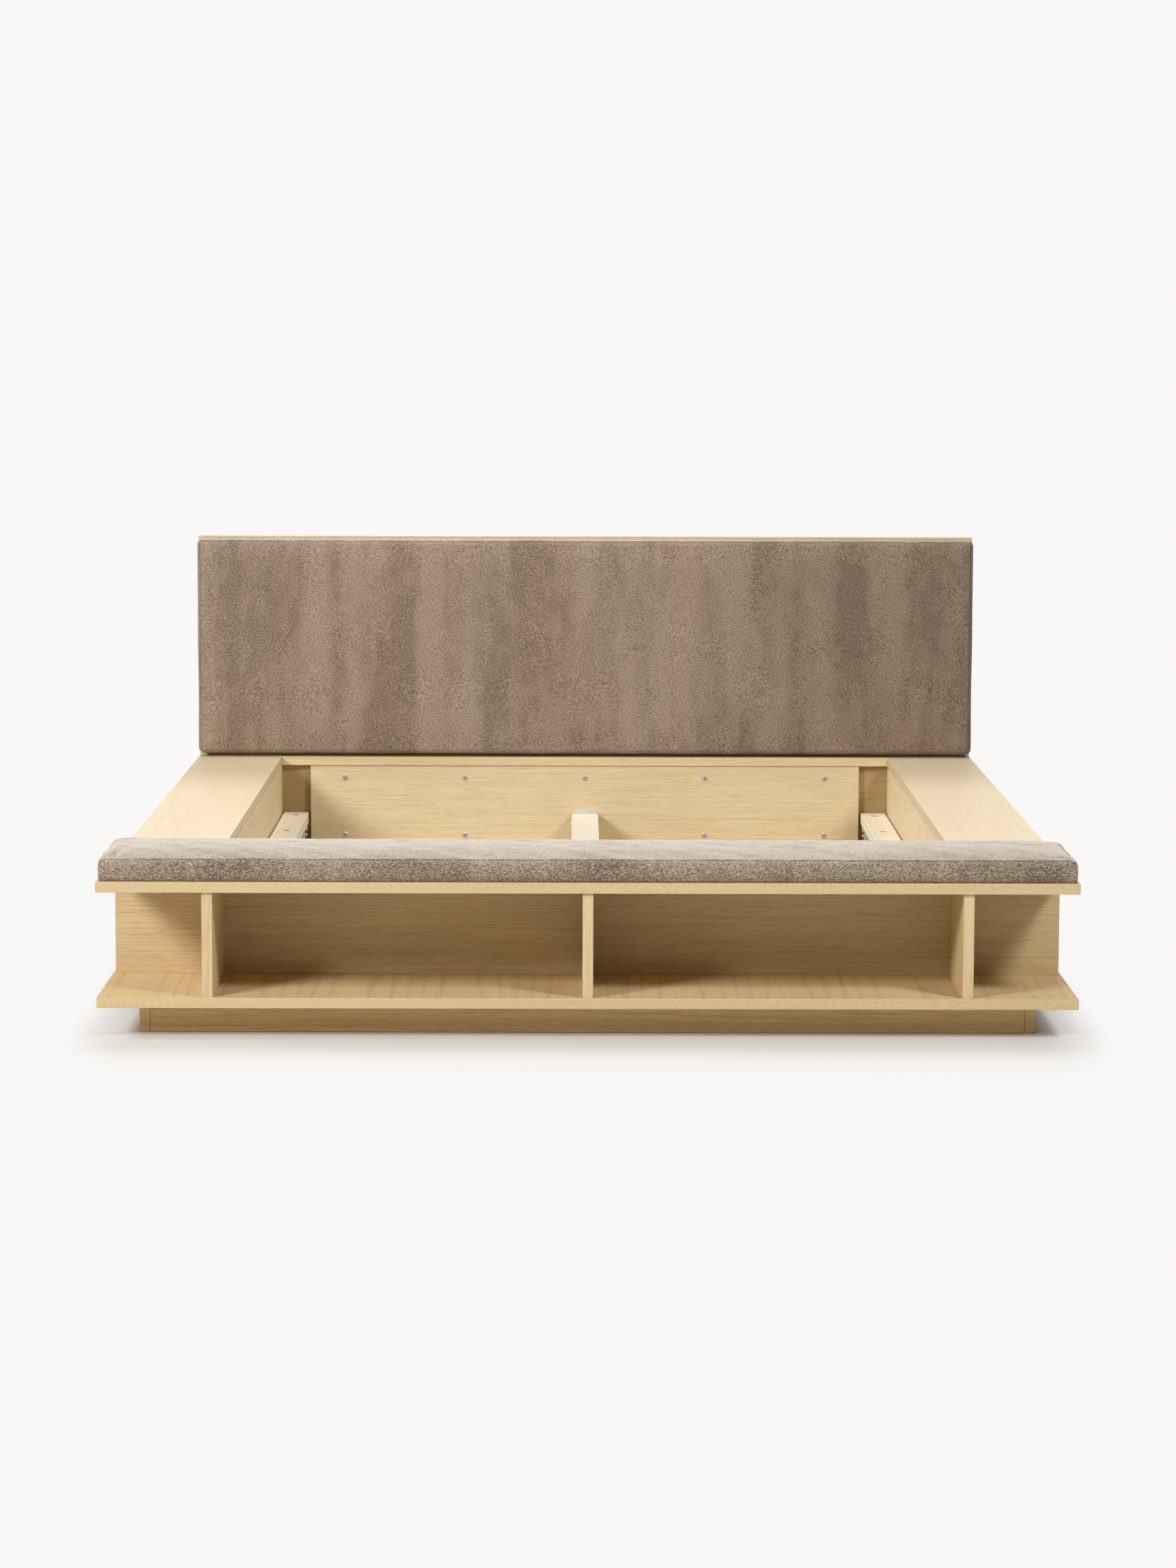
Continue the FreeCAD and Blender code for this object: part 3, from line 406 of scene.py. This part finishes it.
def chenille(name, palette, bands, threads, contrast, painted_sheen_share, right_darkening, seam_shade_depth, stitch):
    """Woven pile: bands of darker and paler tone, short dark and pale threads, and a painted sheen that pales
    the colour at grazing angles.
    """
    warm, cool, deep, bright, painted_sheen = palette
    material, t = new_material(name)
    place = t.place()
    apart = t.vector("ADD", place, (3.1, 1.7, 5.3))
    band = t.noise(place, bands, 2.0, 0.4)
    hue = t.noise(apart, times(0.8, bands), 1.0)
    mottle = t.noise(place, (28.0, 28.0, 17.0), 3.0, 0.6)
    warp, weft = (t.noise(place, scales, 2.0, 0.7) for scales in threads)
    weave = t.math("MULTIPLY_ADD", warp, 0.50, t.math("MULTIPLY", weft, 0.50))
    dark = t.step(weave, 0.50, 0.41)
    pale = t.step(weave, 0.50, 0.59)

    shade = t.math("MULTIPLY_ADD", mottle, 0.3, t.math("MULTIPLY", band, 0.7))
    colour = t.mix(t.step(hue, 0.30, 0.70), warm, cool)
    colour = t.mix(t.step(shade, 0.51, 0.39, 0.0, 0.55), colour, deep)
    colour = t.mix(t.step(shade, 0.49, 0.61, 0.0, 0.30), colour, bright)
    colour = t.mix(t.math("MULTIPLY", dark, contrast), colour, deep)
    colour = t.mix(t.math("MULTIPLY", pale, 0.8 * contrast), colour, bright)

    # Painted sheen: at grazing angles the colour is mixed towards a pale colour, less where the pile is
    # ruffled or dashed.
    grazing = t.step(t.node("ShaderNodeLayerWeight", {"Blend": 0.5}).outputs["Facing"], 0.45, 0.90)
    painted_sheen_colour = t.mix(t.step(weave, 0.40, 0.60), times(0.78, painted_sheen), times(1.15, painted_sheen))
    ruffled = t.step(t.noise(apart, (12.0, 22.0, 22.0), 4.0, 0.65), 0.50, 0.64)
    dashes = t.step(t.noise(apart, (26.0, 90.0, 190.0), 3.0, 0.6), 0.52, 0.66)
    standing = t.math("MULTIPLY_ADD", ruffled, 0.35, t.math("MULTIPLY", dashes, 0.30))
    colour = t.mix(t.math("MULTIPLY", grazing, t.math("SUBTRACT", painted_sheen_share, standing)), colour, painted_sheen_colour)
    rightward = t.step(t.split(place)[0], 0.10, 0.75, 0.0, right_darkening)
    colour = t.mix(rightward, colour, RIGHTWARD_DARKENING, "MULTIPLY")

    seam_groove_and_shade = t.step(t.math("ABSOLUTE", stitch(t, place)), 0.0018, 0.0005)
    seam_groove_and_shade = t.math("MULTIPLY", seam_groove_and_shade, t.step(t.noise(apart, (70.0, 70.0, 0.0), 2.0), 0.30, 0.60))
    # Painted shade: the colour darkens along the seam, where the groove lies.
    colour = t.mix(t.math("MULTIPLY", seam_groove_and_shade, seam_shade_depth), colour, times(0.35, deep))
    height = t.math("MULTIPLY_ADD", seam_groove_and_shade, -1.5, t.math("MULTIPLY", weave, 2.5))
    finish_material(t, {"Base Color": colour, "Roughness": t.math("MULTIPLY_ADD", dark, 0.15, 0.78),
                        "Sheen Weight": 0.5, "Sheen Roughness": 0.5, "Sheen Tint": SHEEN_TINT,
                        "Specular IOR Level": 0.15, "Normal": t.bump(height, 0.5, 0.001)})
    return material


def mesh_points(mesh):
    points = np.zeros(len(mesh.vertices) * 3)
    mesh.vertices.foreach_get("co", points)
    return points.reshape(-1, 3)


def mesh_normals(mesh):
    normals = np.zeros(len(mesh.vertices) * 3)
    mesh.vertices.foreach_get("normal", normals)
    return normals.reshape(-1, 3)


def set_points(mesh, points):
    mesh.vertices.foreach_set("co", points.ravel())
    mesh.update()


def apply_modifier(piece, kind, **settings):
    modifier = piece.modifiers.new(kind.lower(), kind)
    for name, value in settings.items():
        setattr(modifier, name, value)
    graph = bpy.context.evaluated_depsgraph_get()
    mesh = bpy.data.meshes.new_from_object(piece.evaluated_get(graph))
    piece.modifiers.remove(modifier)
    piece.data = mesh


# Making of both fabric pieces, in metres: mesh size, start inside the solid, and room to what carries them.
VOXEL = 0.006
DRAWN_IN = 0.0005
RESTING_GAP = 0.0003
PRESSURE = 4.0
SIMULATED_FRAMES = 20
SEAT_SWELL = 0.005
PAD_SWELL = 0.0035


def start_piece(name, node):
    """Copy of a CAD solid as an even mesh, a little smaller than the solid."""
    piece = bpy.data.objects.new(name, nodes[node].data.copy())
    bpy.context.scene.collection.objects.link(piece)
    piece.data.materials.clear()
    apply_modifier(piece, "WELD", merge_threshold=0.0001)
    apply_modifier(piece, "REMESH", mode="VOXEL", voxel_size=VOXEL)
    set_points(piece.data, mesh_points(piece.data) - DRAWN_IN * mesh_normals(piece.data))
    return piece


def inflate(piece, swell, hold):
    """Let the cover swell over its filling; hold gives each point's hold from 0, free, to 1, fixed."""
    rest = mesh_points(piece.data)
    group = piece.vertex_groups.new(name="hold")
    for index in np.nonzero(hold > 0.01)[0]:
        group.add([int(index)], float(hold[index]), "REPLACE")
    modifier = piece.modifiers.new("cover", "CLOTH")
    settings = modifier.settings
    settings.quality = 4
    settings.mass = 0.25
    settings.tension_stiffness = 25
    settings.compression_stiffness = 25
    settings.shear_stiffness = 8
    settings.bending_stiffness = 0.6
    settings.use_pressure = True
    settings.uniform_pressure_force = PRESSURE
    settings.vertex_group_mass = "hold"
    settings.effector_weights.gravity = 0
    for number in range(1, SIMULATED_FRAMES + 1):
        bpy.context.scene.frame_set(number)
    graph = bpy.context.evaluated_depsgraph_get()
    swollen = mesh_points(piece.evaluated_get(graph).data)
    piece.modifiers.remove(modifier)
    bpy.context.scene.frame_set(1)
    move = swollen - rest
    length = np.linalg.norm(move, axis=1, keepdims=True)
    set_points(piece.data, rest + move * np.minimum(1.0, swell / np.maximum(length, 1e-9)))


def ripple(values, seed, waves, reach):
    """Smooth uneven line made from a few sine waves, with their lengths in metres."""
    draw = np.random.default_rng(seed)
    total = np.zeros_like(values)
    for wave in waves:
        total += np.sin(values * 2 * math.pi / wave + draw.uniform(0, 2 * math.pi)) * draw.uniform(0.5, 1.0)
    return reach * total / len(waves)


def smooth_shade(piece):
    piece.data.polygons.foreach_set("use_smooth", [True] * len(piece.data.polygons))


def bench_cushion(material):
    """Loose seat cushion with a seam along its top edges."""
    low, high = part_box("bench_cushion")
    piece = start_piece("seat_cushion", "bench_cushion")
    seam = low.z + SEAT_SEAM_HEIGHT

    def near(inward):
        """1 within 8 mm of an edge, 0 beyond 16 mm."""
        return np.clip((0.016 - inward) / 0.008, 0, 1)

    x, y, z = mesh_points(piece.data).T
    long_sides = near(np.minimum(y - low.y, high.y - y))
    round_ends = near(high.x - 0.012 - np.abs(x))
    sewn = np.clip(1.4 - np.abs(z - seam) / 0.006, 0, 1) * long_sides * (1 - round_ends)
    lying = np.clip((low.z + 0.008 - z) / 0.004, 0, 1)
    inflate(piece, SEAT_SWELL, np.maximum(sewn, lying))
    apply_modifier(piece, "SUBSURF", levels=1)
    points = mesh_points(piece.data)
    x, y, z = points.T
    at_end = near(high.x - np.abs(x))
    seam_line = seam - SEAT_SEAM_DROP * at_end + ripple(x, 3, (0.9, 0.41, 0.17, 0.083), 0.0012)
    sides = np.maximum(near(np.minimum(y - low.y, high.y - y)), at_end)
    groove = np.exp(-((z - seam_line) / 0.0022) ** 2) * sides
    soft = ripple(x + 1.7 * y, 5, (0.31, 0.19, 0.11), 0.0010) * np.clip((z - low.z - 0.004) / 0.02, 0, 1)
    # The crown stands fuller towards the left end.
    fuller = 0.0022 - 0.0012 * x + 0.0030 * np.clip((-x - 0.94) / 0.05, 0, 1)
    soft = soft + fuller * np.clip((z - seam_line - 0.002) / 0.010, 0, 1)
    points = points + mesh_normals(piece.data) * (soft - 0.0018 * groove)[:, None]
    points[:, 2] = np.maximum(points[:, 2], low.z + RESTING_GAP)
    set_points(piece.data, points)
    smooth_shade(piece)
    piece.data.materials.append(material)
    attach(piece, "cushion")
    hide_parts("bench_cushion")


def headboard_pad(material):
    """Upholstered headboard pad with a seam round its front."""
    low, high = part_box("headboard_pad")
    piece = start_piece("headboard_cushion", "headboard_pad")
    points = mesh_points(piece.data)
    inflate(piece, PAD_SWELL, np.clip((points[:, 1] - high.y + 0.020) / 0.010, 0, 1))
    apply_modifier(piece, "SUBSURF", levels=1)
    points = mesh_points(piece.data)
    x, y, z = points.T
    free = np.clip((high.y - 0.016 - y) / 0.008, 0, 1)
    inset = np.minimum(np.minimum(x - low.x, high.x - x), np.minimum(z - low.z, high.z - z))
    seam_line = PAD_SEAM_INSET + ripple(x + 1.3 * z, 11, (0.83, 0.37, 0.16), 0.0012)
    front = np.clip((low.y + 0.016 - y) / 0.006, 0, 1)
    groove = np.exp(-((inset - seam_line) / 0.0028) ** 2) * front
    soft = (ripple(x, 7, (0.42, 0.23, 0.13), 0.0008) + ripple(z, 8, (0.35, 0.21), 0.0006)) * free
    points = points + mesh_normals(piece.data) * (soft - 0.0020 * groove)[:, None]
    # The cover is a little wider than the backing that holds it.
    points[:, 0] *= 1 + 0.004 * free
    points[:, 1] = np.minimum(points[:, 1], high.y - RESTING_GAP)
    set_points(piece.data, points)
    smooth_shade(piece)
    piece.data.materials.append(material)
    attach(piece, "frame")
    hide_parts("headboard_pad")


# Colours of each cover: warm, cool, dark thread, pale thread and painted sheen.
PAD_COLOURS = ((0.290, 0.211, 0.152), (0.282, 0.219, 0.153), (0.140, 0.095, 0.065), (0.470, 0.375, 0.285),
               (0.46, 0.39, 0.32))
SEAT_COLOURS = ((0.240, 0.174, 0.123), (0.231, 0.176, 0.122), (0.088, 0.057, 0.037), (0.580, 0.490, 0.390),
                (0.57, 0.505, 0.430))
headboard_pad(chenille(
    "pad_cover", PAD_COLOURS, bands=(12.5, 3.0, 1.6), threads=((200.0, 400.0, 400.0), (400.0, 400.0, 200.0)),
    contrast=0.75, painted_sheen_share=0.8, right_darkening=0.30, seam_shade_depth=0.4, stitch=pad_stitch))
bench_cushion(chenille(
    "seat_cover", SEAT_COLOURS, bands=(5.0, 6.0, 6.0), threads=((180.0, 480.0, 480.0), (400.0, 400.0, 400.0)),
    contrast=0.85, painted_sheen_share=0.9, right_darkening=0.08, seam_shade_depth=0.55, stitch=seat_stitch))

# The studio: distances in metres, lamp powers in watts.
BACKDROP = (0.956, 0.939, 0.922)
FLOOR_PAINT = (0.68, 0.677, 0.667)
FLOOR_REACH = 60.0
FLOOR_DROP = 0.0005
SHADOW_REACH = 0.60
LAMP_WHITE = (1.0, 0.985, 0.96)
LAMP_TARGET = Vector((0.0, -0.6, 0.3))


def seen(t):
    """1 for rays that show a surface, straight or mirrored, and 0 for rays that gather light."""
    path = t.node("ShaderNodeLightPath").outputs
    mirrored = t.math("MAXIMUM", path["Is Glossy Ray"], path["Is Transmission Ray"])
    return t.math("MAXIMUM", path["Is Camera Ray"], mirrored)


def floor():
    """Pale floor that takes the object's shadow and passes into the backdrop further out."""
    mesh = bpy.data.meshes.new("studio_floor")
    corners = [(-FLOOR_REACH, -FLOOR_REACH, 0), (FLOOR_REACH, -FLOOR_REACH, 0),
               (FLOOR_REACH, FLOOR_REACH, 0), (-FLOOR_REACH, FLOOR_REACH, 0)]
    mesh.from_pydata(corners, [], [(0, 1, 2, 3)])
    piece = bpy.data.objects.new("studio_floor", mesh)
    piece.location.z = -FLOOR_DROP
    bpy.context.scene.collection.objects.link(piece)
    material, t = new_material("studio_floor")
    low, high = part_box("plinth_front")
    half = (high.x, -low.y, 0.0)
    past = t.vector("SUBTRACT", t.vector("ABSOLUTE", t.place()), half)
    outside = t.vector("MULTIPLY", t.vector("MAXIMUM", past, (0.0, 0.0, 0.0)), (3.0, 1.0, 1.0))
    away = t.step(t.vector("LENGTH", outside), 0.0, SHADOW_REACH)
    paint = t.node("ShaderNodeBsdfDiffuse", {"Color": FLOOR_PAINT})
    glow = t.node("ShaderNodeEmission", {"Color": BACKDROP, "Strength": 1.0})
    both = t.node("ShaderNodeMixShader", {0: t.math("MULTIPLY", away, seen(t)), 1: paint.outputs[0],
                                          2: glow.outputs[0]})
    t.node("ShaderNodeOutputMaterial", {"Surface": both.outputs[0]})
    mesh.materials.append(material)


def surround():
    """Backdrop that is seen all round but sheds no light."""
    world = bpy.data.worlds.new("studio")
    bpy.context.scene.world = world
    world.use_nodes = True
    world.node_tree.nodes.clear()
    t = Tree(world.node_tree)
    backdrop = t.node("ShaderNodeBackground", {"Color": BACKDROP, "Strength": seen(t)})
    t.node("ShaderNodeOutputWorld", {"Surface": backdrop.outputs[0]})


def softbox(name, place, size, power):
    """Square lamp with a soft edge to its shadows, turned to the bed."""
    lamp = bpy.data.lights.new(name, "AREA")
    lamp.shape = "SQUARE"
    lamp.size = size
    lamp.energy = power
    lamp.color = LAMP_WHITE
    piece = bpy.data.objects.new(name, lamp)
    piece.location = place
    piece.rotation_euler = (Vector(place) - LAMP_TARGET).to_track_quat("Z", "Y").to_euler()
    bpy.context.scene.collection.objects.link(piece)


# The photograph's camera.
FOCAL_LENGTH, SENSOR_WIDTH = 93.0, 36.0
CAMERA_PLACE = (-0.0339, -9.5502, 1.5243)
CAMERA_PITCH = math.radians(6.7535)
CAMERA_YAW = math.radians(0.2267)
CAMERA_ROLL = math.radians(0.1591)


def camera():
    """The photograph's view: long lens, a little above the bed, looking slightly down."""
    lens = bpy.data.cameras.new("view")
    lens.lens = FOCAL_LENGTH
    lens.sensor_width = SENSOR_WIDTH
    lens.clip_end = 200.0
    piece = bpy.data.objects.new("view", lens)
    turn = Matrix.Rotation(-CAMERA_YAW, 4, "Z") @ Matrix.Rotation(math.pi / 2 - CAMERA_PITCH, 4, "X")
    piece.matrix_world = Matrix.Translation(CAMERA_PLACE) @ turn @ Matrix.Rotation(CAMERA_ROLL, 4, "Z")
    bpy.context.scene.collection.objects.link(piece)
    bpy.context.scene.camera = piece


floor()
surround()
softbox("key_light", (-3.9, -4.8, 3.2), 1.4, 255.0)
softbox("side_light", (-4.2, -1.0, 3.0), 1.4, 68.0)
softbox("overhead_light", (0.0, 0.8, 4.5), 1.4, 92.0)
softbox("fill_light", (2.8, -3.4, 3.4), 0.9, 118.0)
softbox("back_light", (0.0, 3.6, 3.6), 1.4, 73.0)
camera()
bpy.context.scene.view_settings.view_transform = "Standard"
